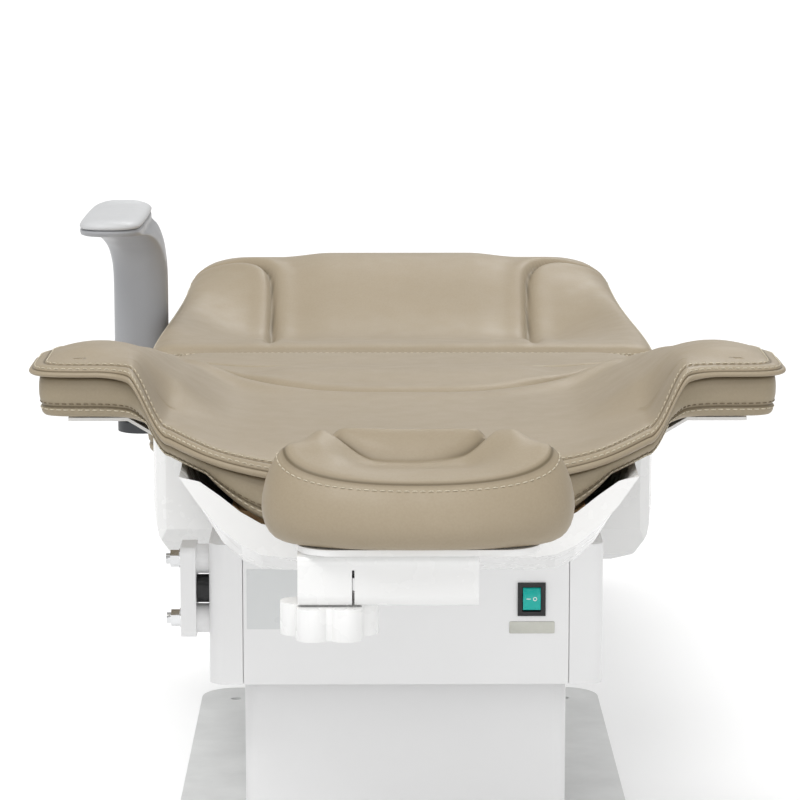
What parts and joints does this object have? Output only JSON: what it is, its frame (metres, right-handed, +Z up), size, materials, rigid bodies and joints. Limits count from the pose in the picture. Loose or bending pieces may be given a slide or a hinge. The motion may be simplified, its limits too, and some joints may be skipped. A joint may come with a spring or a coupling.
{
  "type": "reclining treatment chair",
  "caption": "Reclining treatment chair: lift column, hollowed seat, winged folding backrest, sliding and tilting headrest, swing-out armrest.",
  "frame": {"origin": "on the floor, at the centre line of the lift column, on the floor plate's underside", "axes": "+Z up, +Y toward the foot end, +X toward the sitter's right"},
  "size_m": [0.665, 1.747, 0.594],
  "materials": {
    "base_plate": "satin",
    "column_outer": "satin",
    "column_bolts": "satin",
    "outer_glides": "matte",
    "lift_cylinder": "satin",
    "base_skirt": "satin",
    "hydraulic_pump": "matte",
    "hydraulic_line": "matte",
    "column_mid": "satin",
    "mid_glides": "matte",
    "lift_stage": "polished",
    "column_inner": "satin",
    "inner_glides": "matte",
    "lift_rod": "polished",
    "seat_frame": "satin",
    "frame_bolts": "satin",
    "seat_board": "matte",
    "seat_shell": "satin",
    "seat_base_cushion": "satin",
    "seat_cushion": "satin",
    "box_rear_panel": "satin",
    "box_left_cover": "satin",
    "box_right_cover": "satin",
    "box_front_panel": "satin",
    "box_top_cover": "satin",
    "power_supply": "satin",
    "control_board": "satin",
    "switch_housing": "satin",
    "mount_arm": "satin",
    "mount_bracket": "satin",
    "mount_bolts": "polished",
    "hose_sleeve": "matte",
    "back_actuator": "satin",
    "hinge_pins": "satin",
    "armrest_bracket": "satin",
    "power_rocker": "gloss",
    "actuator_rod": "polished",
    "hinge_bushes": "satin",
    "back_frame": "satin",
    "back_pan": "matte",
    "back_shell": "satin",
    "back_base_cushion": "satin",
    "back_cushion": "satin",
    "bar_liners": "matte",
    "headrest_bar": "satin",
    "headrest_link": "satin",
    "headrest_block": "satin",
    "headrest_pan": "satin",
    "headrest_cushion": "satin",
    "lock_knob": "satin",
    "armrest_column": "satin",
    "armrest_bushes": "matte",
    "armrest_lower_shell": "satin",
    "armrest_pad": "matte"
  },
  "bodies": {
    "base": {"base_plate": "base_plate", "column_outer": "column_outer", "column_bolts": "column_bolts", "outer_glides": "outer_glides", "lift_cylinder": "lift_cylinder", "base_skirt": "base_skirt", "hydraulic_pump": "hydraulic_pump", "hydraulic_line": "hydraulic_line"},
    "middle_stage": {"column_mid": "column_mid", "mid_glides": "mid_glides", "lift_stage": "lift_stage"},
    "lift": {"column_inner": "column_inner", "inner_glides": "inner_glides", "lift_rod": "lift_rod", "seat_frame": "seat_frame", "frame_bolts": "frame_bolts", "seat_board": "seat_board", "seat_shell": "seat_shell", "seat_base_cushion": "seat_base_cushion", "seat_cushion": "seat_cushion", "box_rear_panel": "box_rear_panel", "box_left_cover": "box_left_cover", "box_right_cover": "box_right_cover", "box_front_panel": "box_front_panel", "box_top_cover": "box_top_cover", "power_supply": "power_supply", "control_board": "control_board", "switch_housing": "switch_housing", "mount_arm": "mount_arm", "mount_bracket": "mount_bracket", "mount_bolts": "mount_bolts", "hose_sleeve": "hose_sleeve", "back_actuator": "back_actuator", "hinge_pins": "hinge_pins", "armrest_bracket": "armrest_bracket"},
    "rocker": {"power_rocker": "power_rocker"},
    "drive_rod": {"actuator_rod": "actuator_rod"},
    "backrest": {"hinge_bushes": "hinge_bushes", "back_frame": "back_frame", "back_pan": "back_pan", "back_shell": "back_shell", "back_base_cushion": "back_base_cushion", "back_cushion": "back_cushion", "bar_liners": "bar_liners"},
    "head_bar": {"headrest_bar": "headrest_bar"},
    "head_link": {"headrest_link": "headrest_link"},
    "headrest": {"headrest_block": "headrest_block", "headrest_pan": "headrest_pan", "headrest_cushion": "headrest_cushion"},
    "knob": {"lock_knob": "lock_knob"},
    "armrest": {"armrest_column": "armrest_column", "armrest_bushes": "armrest_bushes", "armrest_lower_shell": "armrest_lower_shell", "armrest_pad": "armrest_pad"}
  },
  "joints": [
    {"name": "lift_slide", "type": "slide", "parent": "base", "child": "lift", "axis": [0, 0, 1], "range_m": [-0.05, 0.25]},
    {"name": "middle_slide", "type": "slide", "parent": "base", "child": "middle_stage", "axis": [0, 0, 1], "range_m": [-0.025, 0.125]},
    {"name": "back_hinge", "type": "hinge", "parent": "lift", "child": "backrest", "pos_m": [0, -0.106, 0.405], "axis": [-1, 0, 0], "range_deg": [0, 70]},
    {"name": "drive_slide", "type": "slide", "parent": "lift", "child": "drive_rod", "axis": [0, -1, 0], "range_m": [0, 0.1052]},
    {"name": "head_slide", "type": "slide", "parent": "backrest", "child": "head_bar", "axis": [0, -1, 0], "range_m": [-0.012, 0.12]},
    {"name": "head_link_tilt", "type": "hinge", "parent": "head_bar", "child": "head_link", "pos_m": [0, -0.745, 0.405], "axis": [-1, 0, 0], "range_deg": [-25, 12]},
    {"name": "head_tilt", "type": "hinge", "parent": "head_link", "child": "headrest", "pos_m": [0, -0.815, 0.415], "axis": [-1, 0, 0], "range_deg": [-40, 17]},
    {"name": "knob_turn", "type": "hinge", "parent": "headrest", "child": "knob", "pos_m": [-0.064, -0.821, 0.38], "axis": [0, 0, -1], "range_deg": [0, 180]},
    {"name": "armrest_swing", "type": "hinge", "parent": "lift", "child": "armrest", "pos_m": [-0.291, 0.28, 0.35], "axis": [0, 0, -1], "range_deg": [0, 90]},
    {"name": "rocker_tilt", "type": "hinge", "parent": "lift", "child": "rocker", "pos_m": [0.1147, -0.428, 0.304], "axis": [1, 0, 0], "range_deg": [0, 14]}
  ],
  "couplings": [
    {"joint": "middle_slide", "follows": "lift_slide", "ratio": 0.5},
    {"joint": "drive_slide", "follows": "back_hinge", "m_per_rad": 0.08597}
  ]
}
